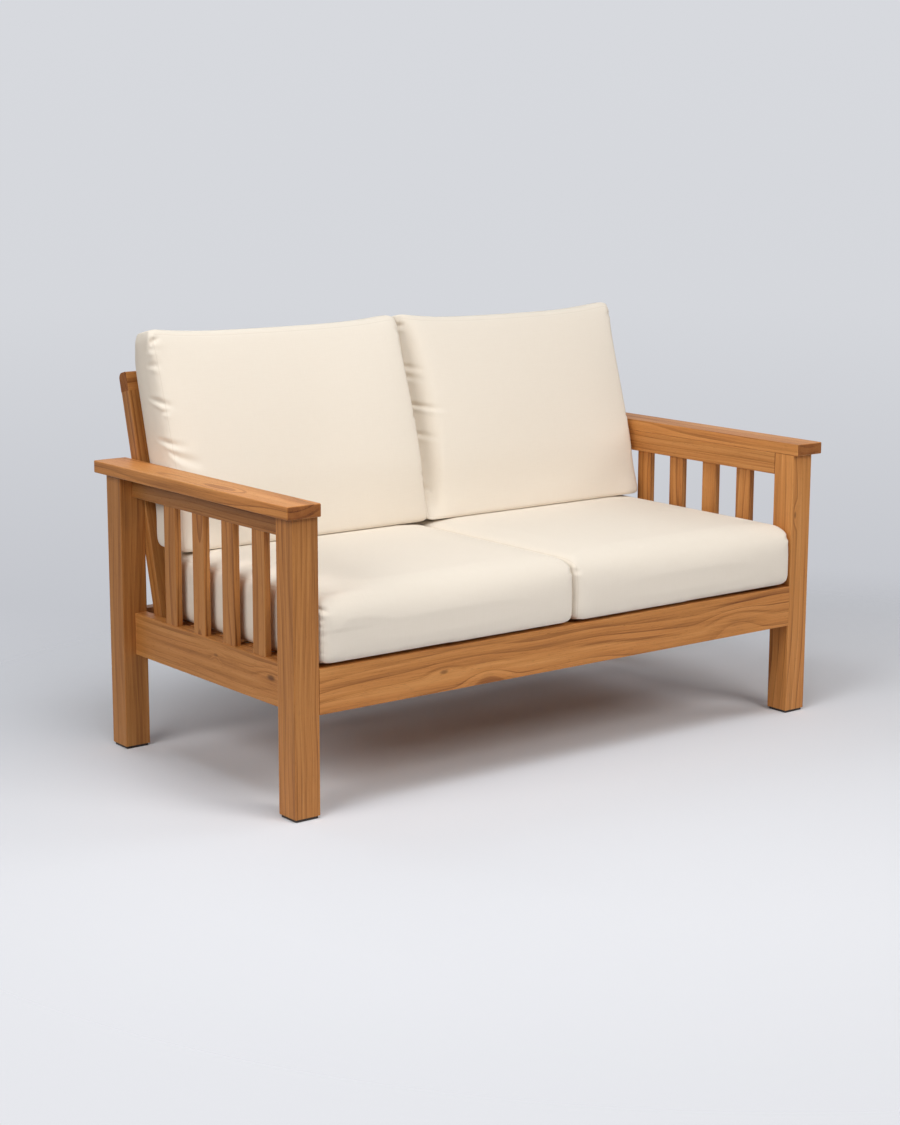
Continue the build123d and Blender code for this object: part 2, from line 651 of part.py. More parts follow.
def seat_section(draw, crown):
    """The seat cushion's cross section (depth, height), drawn in at its ends and crowned in its middle."""
    front = SEAT_FRONT + draw * EDGE_DRAW
    top = SEAT_EDGE_TOP - draw * EDGE_DRAW
    rise = LEAST_ARC_RISE + SEAT_CROWN * crown
    bulge = LEAST_ARC_RISE + SEAT_FRONT_BULGE * (1 - draw)
    edges = [
        Line((front, SEAT_BASE), (SEAT_REAR, SEAT_BASE)),
        Line((SEAT_REAR, SEAT_BASE), (SEAT_REAR, top)),
        ThreePointArc((SEAT_REAR, top), ((front + SEAT_REAR) / 2, top + rise), (front, top)),
        ThreePointArc((front, top), (front - bulge, (SEAT_BASE + top) / 2), (front, SEAT_BASE)),
    ]
    corners = [
        ((front, top), SEAT_FRONT_TOP_ROUND),
        ((SEAT_REAR, top), SEAT_REAR_ROUND),
        ((front, SEAT_BASE), SEAT_FRONT_FOOT_ROUND),
    ]
    return rounded_section(edges, corners)


def back_depths(height, thickness):
    """Depths of the back cushion's leaning rear face and of a front face that is a thickness before it."""
    rear = back_front_at(height) - REST_GAP / cos(LEAN)
    return rear, rear - thickness / cos(LEAN)


def back_section(draw, crown):
    """The back cushion's cross section: a level foot, a leaning flat back, a bulging front, a dipping top."""
    top = BACK_CUSHION_TOP - BACK_CUSHION_DIP * crown - draw * EDGE_DRAW
    rear_foot, front_foot = back_depths(BACK_BASE, BACK_CUSHION_FOOT_THICKNESS - draw * EDGE_DRAW)
    rear_top, front_top = back_depths(top, BACK_CUSHION_HEAD_THICKNESS - draw * EDGE_DRAW)
    fullness = (crown + (1 - crown) * BACK_END_BULGE_SHARE) * (1 - draw)
    bulge = LEAST_ARC_RISE + BACK_CUSHION_BULGE * fullness
    middle = (front_foot + front_top) / 2 - bulge
    edges = [
        Line((front_foot, BACK_BASE), (rear_foot, BACK_BASE)),
        Line((rear_foot, BACK_BASE), (rear_top, top)),
        ThreePointArc((rear_top, top), ((rear_top + front_top) / 2, top + BACK_TOP_CROWN), (front_top, top)),
        ThreePointArc((front_top, top), (middle, (BACK_BASE + top) / 2), (front_foot, BACK_BASE)),
    ]
    corners = [
        ((front_top, top), BACK_FRONT_ROUND),
        ((rear_top, top), BACK_REAR_ROUND),
        ((front_foot, BACK_BASE), BACK_FRONT_ROUND),
    ]
    return rounded_section(edges, corners)


def cushion_form(section):
    """A left cushion's outside, lofted from side to side."""
    half = CUSHION_HALF - SIDE_GAP / 2
    faces = [Plane.YZ.offset(CUSHION_MIDDLE + half * station) * section(draw, crown)
             for station, draw, crown in zip(STATION_SHARES, DRAW_SHARES, CROWN_SHARES)]
    return loft(faces, ruled=True)


def slab(outline, half):
    """A left cushion's inner block: its outline (depth, height) carried half a width to each side."""
    side = Plane.YZ.offset(CUSHION_MIDDLE - half) * make_face(Polyline(*outline, close=True))
    return extrude(side, 2 * half, dir=(1, 0, 0))


def seat_slab(play):
    """The seat cushion's foam block, or with play the room for it."""
    inset = FIBRE_WRAP - play
    front = SEAT_FRONT + inset
    rear = SEAT_REAR - inset
    foot = SEAT_BASE + inset
    top = SEAT_EDGE_TOP - inset
    return slab([(front, foot), (rear, foot), (rear, top), (front, top)], CUSHION_HALF - inset)


def back_slab(play):
    """The back cushion's foam block, or with play the room for it."""
    inset = FIBRE_WRAP - play
    foot = BACK_BASE + inset
    top = BACK_CUSHION_TOP - BACK_CUSHION_DIP - inset
    rear_foot, front_foot = back_depths(foot, BACK_CUSHION_FOOT_THICKNESS - inset)
    rear_top, front_top = back_depths(top, BACK_CUSHION_HEAD_THICKNESS - inset)
    outline = [(front_foot, foot), (rear_foot - inset, foot), (rear_top - inset, top), (front_top, top)]
    return slab(outline, CUSHION_HALF - inset)


def zip_fastener(play):
    """A zip lying flat, face down: tape, coil and slider, or with play the recess that it needs."""
    if play:
        return Box(ZIP_LENGTH + 2 * play, ZIP_TAPE_WIDTH + 2 * play, 2 * ZIP_RECESS)
    tape = Box(ZIP_LENGTH, ZIP_TAPE_WIDTH, ZIP_TAPE_THICKNESS, align=(Align.CENTER, Align.CENTER, Align.MAX))
    coil = Box(ZIP_LENGTH, ZIP_COIL_WIDTH, ZIP_COIL_HEIGHT, align=(Align.CENTER, Align.CENTER, Align.MIN))
    at_end = (Align.MAX, Align.CENTER, Align.MIN)
    slider = Box(ZIP_SLIDER_LENGTH, ZIP_SLIDER_WIDTH, ZIP_COIL_HEIGHT, align=at_end)
    slider = Pos(ZIP_LENGTH / 2, 0, 0) * slider
    return Pos(0, 0, ZIP_TAPE_THICKNESS - ZIP_RECESS) * (tape + coil + slider)


def seat_zip_place():
    """The middle of the seat cushion's flat back, facing back."""
    height = (SEAT_BASE + SEAT_EDGE_TOP) / 2
    return Location(Plane(origin=(CUSHION_MIDDLE, SEAT_REAR, height), x_dir=(1, 0, 0), z_dir=(0, 1, 0)))


def back_zip_place():
    """The middle of the back cushion's level foot, facing down."""
    depth = back_front_at(BACK_BASE) - BACK_CUSHION_FOOT_THICKNESS / 2
    return Location(Plane(origin=(CUSHION_MIDDLE, depth, BACK_BASE), x_dir=(1, 0, 0), z_dir=(0, 0, -1)))


def left_cover(section, core_room, zip_place):
    """A left cushion's cover with its fibre wrap, hollow for its core, with a recess for the zip."""
    return cushion_form(section) - core_room - zip_place * zip_fastener(ZIP_PLAY)


def all_pieces():
    """Every piece of the loveseat by name."""
    left = {
        "front_left_leg": front_left_leg(),
        "rear_left_leg": rear_left_leg(),
        "armrest_left": left_armrest(),
        "upper_side_rail_left": left_upper_side_rail(),
        "lower_side_rail_left": left_lower_side_rail(),
        "side_bearer_left": left_side_bearer(),
        "back_stile_left": left_back_stile(),
        "seat_cover_left": left_cover(seat_section, seat_slab(CORE_PLAY), seat_zip_place()),
        "seat_core_left": seat_slab(0),
        "seat_zip_left": seat_zip_place() * zip_fastener(0),
        "back_cover_left": left_cover(back_section, back_slab(CORE_PLAY), back_zip_place()),
        "back_core_left": back_slab(0),
        "back_zip_left": back_zip_place() * zip_fastener(0),
    }
    for number in range(ARM_SLAT_COUNT):
        left[f"arm_slat_left_{number + 1}"] = left_arm_slat(number)
    pieces = dict(left)
    for name, piece in left.items():
        pieces[name.replace("left", "right")] = mirrored(piece)
    pieces["front_rail"] = front_rail()
    pieces["rear_rail"] = rear_rail()
    pieces["centre_bearer"] = centre_bearer()
    for number, front in enumerate(deck_board_fronts()):
        pieces[f"deck_board_{number + 1}"] = deck_board(front)
    pieces["crest_rail"] = crest_rail()
    pieces["lower_back_rail"] = lower_back_rail()
    for number in range(BACK_SLAT_COUNT):
        pieces[f"back_slat_{number + 1}"] = back_slat(number)
    pieces["foot_glides"] = foot_glides()
    pieces["corner_brackets"] = corner_brackets()
    pieces["bracket_screws"] = bracket_screws()
    pieces["deck_screws"] = Compound(children=deck_screws(0))
    pieces["back_frame_bolts"] = back_frame_bolts()
    return pieces


def middle_depth(pieces):
    """The middle of the whole, front to back."""
    boxes = [piece.bounding_box() for piece in pieces.values()]
    return (min(box.min.Y for box in boxes) + max(box.max.Y for box in boxes)) / 2


os.makedirs("parts", exist_ok=True)
loveseat = all_pieces()
shift = Pos(0, -middle_depth(loveseat), 0)
for node, piece in loveseat.items():
    export_step(shift * piece, f"parts/{node}.step")
print(len(loveseat), "pieces, moved along Y by", shift.position.Y)
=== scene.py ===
import math
import bpy
import numpy as np
from mathutils import Euler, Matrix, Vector


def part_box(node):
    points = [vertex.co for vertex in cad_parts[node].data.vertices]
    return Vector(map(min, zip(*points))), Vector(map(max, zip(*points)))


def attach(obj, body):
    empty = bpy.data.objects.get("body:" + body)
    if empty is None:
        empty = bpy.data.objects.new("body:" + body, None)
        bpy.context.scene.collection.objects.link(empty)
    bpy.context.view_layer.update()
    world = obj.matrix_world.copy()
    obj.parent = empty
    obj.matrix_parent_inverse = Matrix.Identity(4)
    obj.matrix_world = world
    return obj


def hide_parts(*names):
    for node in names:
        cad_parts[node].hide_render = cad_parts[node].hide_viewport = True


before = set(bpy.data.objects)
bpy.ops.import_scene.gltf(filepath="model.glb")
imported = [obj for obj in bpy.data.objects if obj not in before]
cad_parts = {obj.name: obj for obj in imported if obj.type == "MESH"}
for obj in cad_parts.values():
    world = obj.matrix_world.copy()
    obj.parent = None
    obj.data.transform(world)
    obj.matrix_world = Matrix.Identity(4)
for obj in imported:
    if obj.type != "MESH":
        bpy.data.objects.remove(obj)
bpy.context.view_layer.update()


# Legs: four square posts of oiled teak, sawn with the grain upright, with eased corners. The saw opens the
# growth rings of this golden brown wood as stripes and cathedrals, with fine darker fibres and short pores.
# Its sawn ends drink more oil and are darker and redder.
class Wire:
    """An output socket in a material, which Python's operators turn into Math nodes."""

    def __init__(self, finish, socket):
        self.finish = finish
        self.socket = socket

    def math(self, operation, *values):
        return self.finish.node("ShaderNodeMath", dict(operation=operation), dict(enumerate(values)))

    def __add__(self, other):
        return self.math("ADD", self, other)

    def __sub__(self, other):
        return self.math("SUBTRACT", self, other)

    def __rsub__(self, other):
        return self.math("SUBTRACT", other, self)

    def __mul__(self, other):
        return self.math("MULTIPLY", self, other)

    def __abs__(self):
        return self.math("ABSOLUTE", self)

    __radd__ = __add__
    __rmul__ = __mul__

    def between(self, low, high):
        """0 below low, 1 above high, and a smooth step from one to the other."""
        smooth = dict(interpolation_type="SMOOTHSTEP")
        return self.finish.node("ShaderNodeMapRange", smooth, {0: self, 1: low, 2: high})

    def wave(self, pitch):
        """A sine that repeats at a pitch."""
        return self.math("SINE", self * (2 * math.pi / pitch))


class Finish:
    """A material or a world and its nodes. Its main shader gets constants by name."""

    def __init__(self, name, kind="materials", shader="Principled BSDF", **constants):
        self.material = getattr(bpy.data, kind).new(name)
        self.material.use_nodes = True
        self.nodes = self.material.node_tree.nodes
        self.links = self.material.node_tree.links
        self.shader = self.nodes[shader]
        for key, value in constants.items():
            self.shader.inputs[key.replace("_", " ")].default_value = value

    def node(self, kind, settings, inputs, output=0):
        made = self.nodes.new(kind)
        for key, value in settings.items():
            if key == "stops":
                for place, colour in value[2:]:
                    made.color_ramp.elements.new(place)
                for stop, (place, colour) in zip(made.color_ramp.elements, value):
                    stop.position = place
                    stop.color = colour
            else:
                setattr(made, key, value)
        for key, value in inputs.items():
            self.plug(value, made.inputs[key])
        return Wire(self, made.outputs[output])

    def plug(self, value, socket):
        if isinstance(value, Wire):
            self.links.new(value.socket, socket)
        else:
            socket.default_value = value

    def drive(self, name, value):
        """Plugs a value into a socket of the main shader."""
        self.plug(value, self.shader.inputs[name])

    def coordinates(self, kind="Object"):
        return self.node("ShaderNodeTexCoord", {}, {}, kind)

    def axis(self, vector, number):
        """x, y or z of a vector, as number 0, 1 or 2."""
        return self.node("ShaderNodeSeparateXYZ", {}, {0: vector}, number)

    def vector(self, operation, *values, output=0):
        return self.node("ShaderNodeVectorMath", dict(operation=operation), dict(enumerate(values)), output)

    def noise(self, place, scale, detail=2.0, roughness=0.5, output=0):
        """Cloudy noise at a place that is stretched by a scale along each axis."""
        stretched = self.vector("MULTIPLY", place, scale)
        inputs = {"Vector": stretched, "Scale": 1.0, "Detail": detail, "Roughness": roughness}
        return self.node("ShaderNodeTexNoise", {}, inputs, output)

    def mix(self, factor, first, second, blend="MIX"):
        """One colour over another."""
        settings = dict(data_type="RGBA", blend_type=blend)
        return self.node("ShaderNodeMix", settings, {0: factor, 6: first, 7: second}, 2)


def linear(red, green, blue):
    """A colour written as 0 to 255 on a screen."""
    shares = [value / 255 for value in (red, green, blue)]
    return (*[s / 12.92 if s <= 0.04045 else ((s + 0.055) / 1.055) ** 2.4 for s in shares], 1.0)


def coat(node, finish):
    """Gives a CAD node its finish."""
    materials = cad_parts[node].data.materials
    materials.clear()
    materials.append(finish.material)


UPRIGHT = (0.0, 0.0, 0.0)
SIDEWAYS = (0.0, -math.pi / 2, 0.0)
FRONT_TO_BACK = (math.pi / 2, 0.0, 0.0)
TEAK_DARK = linear(110, 60, 25)
TEAK_MIDDLE = linear(191, 127, 66)
TEAK_LIGHT = linear(217, 158, 93)
TEAK_PORE = linear(84, 46, 22)
TEAK_RED = (1.0, 0.86, 0.78, 1.0)
END_GRAIN = (0.56, 0.47, 0.40, 1.0)

# How fine each part of the figure is, in clouds per metre: twice across the grain, and along it.
DRIFT = (4.0, 4.0, 2.1)
PATCHES = (9.0, 9.0, 2.6)
BANDS = (42.0, 42.0, 1.3)
FIBRES = (330.0, 330.0, 6.0)
PORES = (1500.0, 1500.0, 60.0)

# Where in a noise or in a year's growth each part of the figure starts and ends.
PORE_EDGE = (0.62, 0.74)
PATCH_EDGE = (0.35, 0.6)
REDDER_EDGE = (0.35, 0.75)
LATE_WOOD_GROWS = (0.25, 0.96)
LATE_WOOD_STOPS = (0.96, 1.0)
SAWN_END_EDGE = (0.8, 0.95)
RING_SWAY = 2.5
PORE_DEPTH = 0.0004

# A knot's size is its radius. The rings bend round it as far as its reach, pushed aside by its bend.
KNOT_REACH_SHARE = 5
KNOT_BEND_SHARE = 2.4
KNOT_EDGE_SHARES = (0.3, 1.2)
PLANK_LENGTH = 1.7


def teak(node, turn, number, pith=(0.07, 0.05), wander=0.012, growth=80.0, figure=0.36, tone=1.0,
         knots=()):
    """Gives a wooden node its own cut of teak. turn brings its grain to Z, number picks the plank, and pith
    is how far the middle of the tree lies from the node's. wander is how crooked the tree grew, growth how
    many rings it has in a metre, figure how dark they are, and knots are (x, y, z, radius, how dark)."""
    finish = Finish(f"teak_{node}", IOR=1.46, Specular_IOR_Level=0.33)
    low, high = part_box(node)
    rotation = Euler(turn)
    centre = rotation.to_matrix() @ ((low + high) / 2)
    shift = Vector((pith[0], pith[1], PLANK_LENGTH * number)) - centre
    inputs = {"Vector": finish.coordinates(), "Location": shift, "Rotation": rotation}
    place = finish.node("ShaderNodeMapping", {}, inputs)

    # How far a point is from the crooked pith, with the rings pushed aside round each knot.
    drift = finish.noise(place, DRIFT, 1.0, 0.4, 1)
    drift = finish.vector("SUBTRACT", drift, (0.5, 0.5, 0.5))
    drift = finish.vector("MULTIPLY", drift, (4 * wander, 4 * wander, 0))
    crooked = finish.vector("ADD", place, drift)
    across = finish.vector("MULTIPLY", crooked, (1.0, 1.0, 0.0))
    radius = finish.vector("LENGTH", across, output="Value")
    bark = 0.0
    for x, y, z, size, darkness in knots:
        grown = rotation.to_matrix() @ Vector((x, y, z)) + shift
        reach = finish.vector("SUBTRACT", place, grown)
        reach = finish.vector("MULTIPLY", reach, (1.0, 1.0, 0.4))
        reach = finish.vector("LENGTH", reach, output="Value")
        radius = radius + (1 - reach.between(0.0, KNOT_REACH_SHARE * size)) * (KNOT_BEND_SHARE * size)
        bark = bark + (1 - reach.between(*[share * size for share in KNOT_EDGE_SHARES])) * darkness

    # The figure: uneven rings that darken towards late wood, with bands, patches, fibres and pores.
    inputs = {"W": radius * growth, "Scale": 1.0, "Detail": 3.0, "Roughness": 0.62}
    rings = finish.node("ShaderNodeTexNoise", dict(noise_dimensions="1D"), inputs)
    bands = finish.noise(place, BANDS)
    patches = finish.noise(place, PATCHES)
    fibres = finish.noise(place, FIBRES, 3.0, 0.65)
    pores = finish.noise(place, PORES, 1.0).between(*PORE_EDGE)
    age = radius * growth + rings * RING_SWAY
    season = age.math("FRACT", age)
    late_wood = season.between(*LATE_WOOD_GROWS) * (1 - season.between(*LATE_WOOD_STOPS))
    late_wood = late_wood * (0.25 + patches.between(*PATCH_EDGE) * 0.75)
    shade = (rings - 0.5) * 0.5 + (fibres - 0.5) * 0.65 + (bands - 0.5) * 0.7 + (patches - 0.5) * 0.35
    shade = shade - late_wood * figure
    stops = [(0.0, TEAK_DARK), (0.5, TEAK_MIDDLE), (1.0, TEAK_LIGHT)]
    colour = finish.node("ShaderNodeValToRGB", dict(stops=stops), {0: shade + 0.57})
    colour = finish.mix(patches.between(*REDDER_EDGE) * 0.35, colour, TEAK_RED, "MULTIPLY")
    colour = finish.mix(pores * 0.35, colour, TEAK_PORE)
    if knots:
        colour = finish.mix(bark, colour, TEAK_PORE)

    # The sawn ends, where the surface faces along the grain, are darker and duller.
    grain = rotation.to_matrix().inverted() @ Vector((0, 0, 1))
    along = finish.vector("DOT_PRODUCT", finish.coordinates("Normal"), grain, output="Value")
    sawn_end = abs(along).between(*SAWN_END_EDGE)
    colour = finish.mix(sawn_end, colour, finish.mix(1.0, colour, END_GRAIN, "MULTIPLY"))
    colour = finish.mix(1.0, colour, (tone, tone, tone, 1.0), "MULTIPLY")
    finish.drive("Base Color", colour)
    finish.drive("Roughness", 0.46 - shade * 0.12 + pores * 0.2 + sawn_end * 0.15)
    relief = {"Strength": 0.35, "Distance": PORE_DEPTH, "Height": fibres * 0.6 - pores}
    finish.drive("Normal", finish.node("ShaderNodeBump", {}, relief))
    coat(node, finish)


RIGHT_LEG_KNOTS = [(0.676, -0.377, 0.474, 0.004, 0.6)]
teak("front_left_leg", UPRIGHT, 1, pith=(0.09, 0.06), tone=0.92)
teak("rear_left_leg", UPRIGHT, 2, pith=(-0.08, 0.07), tone=0.86)
teak("front_right_leg", UPRIGHT, 3, pith=(0.10, -0.06), tone=1.04, knots=RIGHT_LEG_KNOTS)
teak("rear_right_leg", UPRIGHT, 4, pith=(-0.09, -0.08), tone=0.96)


# Side rails: an upper and a lower rail of teak in each arm, with the grain from front to back. They are
# tenoned between the legs and set in from the legs' outer faces. The left lower rail has two small knots.
LEFT_RAIL_KNOTS = [(-0.695, -0.249, 0.268, 0.007, 0.8), (-0.695, -0.040, 0.275, 0.004, 0.5)]
for number, side in enumerate(("left", "right")):
    knots = LEFT_RAIL_KNOTS if side == "left" else []
    teak(f"lower_side_rail_{side}", FRONT_TO_BACK, 11 + number, pith=(0.05, 0.08), wander=0.016,
         growth=55.0, tone=0.95, knots=knots)
    # The left upper rail's low tone of 0.70 is painted shade, standing in for the shadow that the armrest
    # casts on it.
    teak(f"upper_side_rail_{side}", FRONT_TO_BACK, 21 + number, pith=(0.06, 0.10),
         tone=0.70 + 0.22 * number)


# Arm slats: four flat upright slats of teak in each arm, cut from different planks, so their tone varies a
# little. Each is stub tenoned into the lower and the upper side rail.
for number in range(4):
    for place, side in enumerate(("left", "right")):
        teak(f"arm_slat_{side}_{number + 1}", UPRIGHT, 30 + 2 * number + place,
             pith=(0.08, 0.03 * number - 0.05), tone=0.86 + 0.07 * place + 0.03 * ((number + place) % 3))


# Armrests: flat boards of teak with lightly rounded edges all round, grain from front to back. They lie on
# the upper side rails and are mortised over the tenons on top of the legs.
teak("armrest_left", FRONT_TO_BACK, 41, pith=(0.02, 0.11), growth=50.0, tone=1.08)
teak("armrest_right", FRONT_TO_BACK, 42, pith=(-0.02, 0.12), growth=50.0, tone=1.04)


# Front and rear rails: deep boards of teak from arm to arm, with the grain along them. They are tenoned
# into the legs, flush with their outer faces. The front one is flat sawn, with cathedrals and three knots.
FRONT_RAIL_KNOTS = [(-0.354, -0.377, 0.254, 0.005, 0.6), (-0.236, -0.377, 0.228, 0.008, 0.1),
                    (0.489, -0.377, 0.245, 0.011, 0.1)]
teak("front_rail", SIDEWAYS, 51, pith=(0.09, 0.02), wander=0.017, growth=42.0, figure=0.42, tone=1.08,
     knots=FRONT_RAIL_KNOTS)
teak("rear_rail", SIDEWAYS, 52, pith=(0.03, -0.06), wander=0.018, tone=0.98)


# Seat deck: six teak boards from arm to arm that carry the seat cushions. They are screwed down to a bearer
# along each side rail and to one in the middle, which is tenoned into the front and the rear rail.
for number, node in enumerate(("side_bearer_left", "centre_bearer", "side_bearer_right")):
    teak(node, FRONT_TO_BACK, 55 + number, tone=0.92)
for number in range(6):
    teak(f"deck_board_{number + 1}", SIDEWAYS, 60 + number, pith=(0.05, 0.04 + 0.02 * (number % 3)),
         tone=0.95)


# Back frame: two stiles, a crest rail with a rounded back edge, a lower rail and ten slats of teak. They
# are tenoned together into one frame that leans back 14 degrees and is bolted to the arms.
BACK_LEAN = math.radians(14.0)
for number, side in enumerate(("left", "right")):
    teak(f"back_stile_{side}", (BACK_LEAN, 0, 0), 71 + number, pith=(0.08, 0.06), tone=0.78)
teak("crest_rail", SIDEWAYS, 74, pith=(0.06, 0.08), tone=0.93)
teak("lower_back_rail", SIDEWAYS, 75, pith=(0.05, 0.08), tone=0.93)
for number in range(10):
    teak(f"back_slat_{number + 1}", (BACK_LEAN, 0, 0), 80 + number, pith=(0.07, 0.05 - 0.02 * (number % 4)),
         tone=0.94)


# Fastenings: stainless steel angle brackets in the corners under the deck, their pan head screws, the
# countersunk deck screws and the flanged bolts of the back frame, all with a fine brushed finish.
STEEL_DARK = linear(168, 168, 164)
STEEL_LIGHT = linear(204, 204, 200)
BRUSH_MARKS = (900.0, 900.0, 90.0)
steel = Finish("stainless_steel", Metallic=1.0)
brushed = steel.noise(steel.coordinates(), BRUSH_MARKS, 2.0, 0.6)
steel.drive("Base Color", steel.mix(brushed, STEEL_DARK, STEEL_LIGHT))
steel.drive("Roughness", 0.26 + brushed * 0.18)
for node in ("corner_brackets", "bracket_screws", "deck_screws", "back_frame_bolts"):
    coat(node, steel)


# Foot glides: four pads of dark brown nylon, a little smaller than the legs, that keep their end grain off
# the ground. Each is moulded with a pin that is driven up into its leg.
NYLON_DARK = linear(38, 30, 25)
NYLON_LIGHT = linear(58, 47, 40)
MOULD_GRAIN = (700.0, 700.0, 700.0)
nylon = Finish("dark_nylon")
dull = nylon.noise(nylon.coordinates(), MOULD_GRAIN, 2.0, 0.6)
nylon.drive("Base Color", nylon.mix(dull, NYLON_DARK, NYLON_LIGHT))
nylon.drive("Roughness", 0.5 + dull * 0.2)
coat("foot_glides", nylon)


# Seat cushions: two boxed cushions of ivory outdoor cloth round a foam block. One panel wraps over the soft
# front edge, a seam runs round each side panel, and a zip closes the rear. The filling pulls the cloth into
# small puckers along the seams, and the top swells between them.
CUSHION_MESH = 0.008
HELD_AT_SEAM = 0.6 * CUSHION_MESH
HELD_AT_FOOT = 0.004
CLOTH_FRAMES = 14
STRETCH_ROUNDS = 40
SEAM_ROUNDS = 8
FRONT_ROUNDS = 14

# How far from a seam the slack starts and ends, the wrinkles fade, and the cloth is smoothed again.
SLACK_STARTS = (0.0, 0.012)
SLACK_ENDS = (0.04, 0.12)
WRINKLES_FADE = (0.03, 0.10)
SEAM_SMOOTHED = (0.004, 0.030)

# A fold's section in its own widths: a groove with a high lip on one side and a low one on the other.
LIP_DISTANCE = 1.8
HIGH_LIP_SHARE = 0.5
LOW_LIP_SHARE = 0.15
START_WIDTH_SHARE = 0.7
WIDENING_SHARE = 0.8
START_DEPTH_SHARE = 0.25
SIDE_OF_EDGE = -0.006


def corners(node):
    """The lowest and highest corner of a CAD node, as arrays that can be changed."""
    return [np.array(corner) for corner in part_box(node)]


def block(name, size):
    """A closed block of small quads round the origin, which a cushion is shaped from."""
    bpy.ops.object.select_all(action="DESELECT")
    bpy.ops.mesh.primitive_cube_add(size=1)
    piece = bpy.context.object
    piece.name = name
    bpy.ops.object.mode_set(mode="EDIT")
    bpy.ops.transform.resize(value=tuple(size))
    bpy.ops.object.mode_set(mode="OBJECT")
    piece.data.remesh_voxel_size = CUSHION_MESH
    bpy.ops.object.voxel_remesh()
    return piece


def points(mesh, kind="vertices", field="co"):
    """The places or normals of a mesh's points as rows of x, y and z."""
    source = getattr(mesh, kind)
    values = np.empty(len(source) * 3, np.float32)
    source.foreach_get(field, values)
    return values.reshape(-1, 3).astype(float)


def place_points(piece, rows):
    piece.data.vertices.foreach_set("co", rows.astype(np.float32).ravel())
    piece.data.update()


def step(values, low, high):
    """0 below low, 1 above high, and a smooth step from one to the other."""
    share = np.clip((values - low) / (high - low), 0, 1)
    return share * share * (3 - 2 * share)


def rounded(rows, half, radius):
    """The points of a block moved onto one with rounded edges and corners."""
    radius = np.broadcast_to(radius, len(rows))[:, None]
    inner = np.clip(rows, radius - half, half - radius)
    out = rows - inner
    return inner + radius * out / np.maximum(np.linalg.norm(out, axis=1), 1e-9)[:, None]


def averaged(mesh, rows, rounds):
    """Rows of values spread over the mesh: each point takes the mean of its neighbours again and again."""
    edges = np.empty(len(mesh.edges) * 2, np.int32)
    mesh.edges.foreach_get("vertices", edges)
    one, other = edges.reshape(-1, 2).T
    ends, starts = np.concatenate([one, other]), np.concatenate([other, one])
    share = 1 / np.bincount(ends, minlength=len(rows))
    for _ in range(rounds):
        sums = [np.bincount(ends, column[starts], len(rows)) for column in rows.T]
        rows = np.stack([column * share for column in sums], axis=1)
    return rows


def inflate(piece, seam, resting, gathered, pressure, slack, fullness, cap):
    """Swells a piece as cloth under pressure. The cloth is held at its resting points and where seam, the
    distance to a seam, is small, and has slack beside the seams where it is gathered. fullness is the share
    of the broad swelling that is kept beside the wrinkles, and cap is how far it may move a point."""
    start = points(piece.data)
    held = piece.vertex_groups.new(name="held")
    loose = piece.vertex_groups.new(name="slack")
    ease = step(seam, *SLACK_STARTS) * (1 - step(seam, *SLACK_ENDS)) * gathered
    for number, (distance, weight, rests) in enumerate(zip(seam, ease, resting)):
        if distance < HELD_AT_SEAM or rests:
            held.add([number], 1.0, "REPLACE")
        if weight > 0:
            loose.add([number], float(weight), "REPLACE")
    cloth = piece.modifiers.new("cloth", "CLOTH")
    settings = cloth.settings
    settings.quality = 4
    settings.use_pressure = True
    settings.uniform_pressure_force = pressure
    settings.effector_weights.gravity = 0
    settings.vertex_group_mass = "held"
    settings.pin_stiffness = 1.0
    settings.shrink_min = 0.0
    settings.shrink_max = -slack
    settings.vertex_group_shrink = "slack"
    cloth.point_cache.frame_end = CLOTH_FRAMES
    for number in range(1, CLOTH_FRAMES + 1):
        bpy.context.scene.frame_set(number)
    settled = piece.evaluated_get(bpy.context.evaluated_depsgraph_get())
    moved = points(settled.to_mesh()) - start
    settled.to_mesh_clear()
    piece.modifiers.remove(cloth)
    piece.vertex_groups.clear()
    bpy.context.scene.frame_set(1)
    broad = averaged(piece.data, moved, STRETCH_ROUNDS)
    wrinkles = (moved - broad) * (1 - 0.8 * step(seam, *WRINKLES_FADE))[:, None]
    length = np.linalg.norm(broad, axis=1)[:, None]
    rows = start + wrinkles + broad * fullness * cap * np.tanh(length / cap) / np.maximum(length, 1e-9)
    at_seam = (1 - step(seam, *SEAM_SMOOTHED))[:, None]
    place_points(piece, rows + (averaged(piece.data, rows, SEAM_ROUNDS) - rows) * at_seam)


def refine(piece, flat, seam):
    """One level of subdivision, in which each point keeps its place in the flat cloth and how far it is
    past a seam."""
    extra = np.stack([seam, 0 * seam, 0 * seam], axis=1)
    for name, rows in (("sewn", flat), ("seam", extra)):
        kept = piece.data.attributes.new(name, "FLOAT_VECTOR", "POINT")
        kept.data.foreach_set("vector", rows.astype(np.float32).ravel())
    bpy.context.view_layer.objects.active = piece
    level = piece.modifiers.new("finer", "SUBSURF")
    level.levels = level.render_levels = 1
    bpy.ops.object.modifier_apply(modifier=level.name)
    bpy.ops.object.shade_smooth()
    return points(piece.data.attributes["sewn"], "data", "vector")


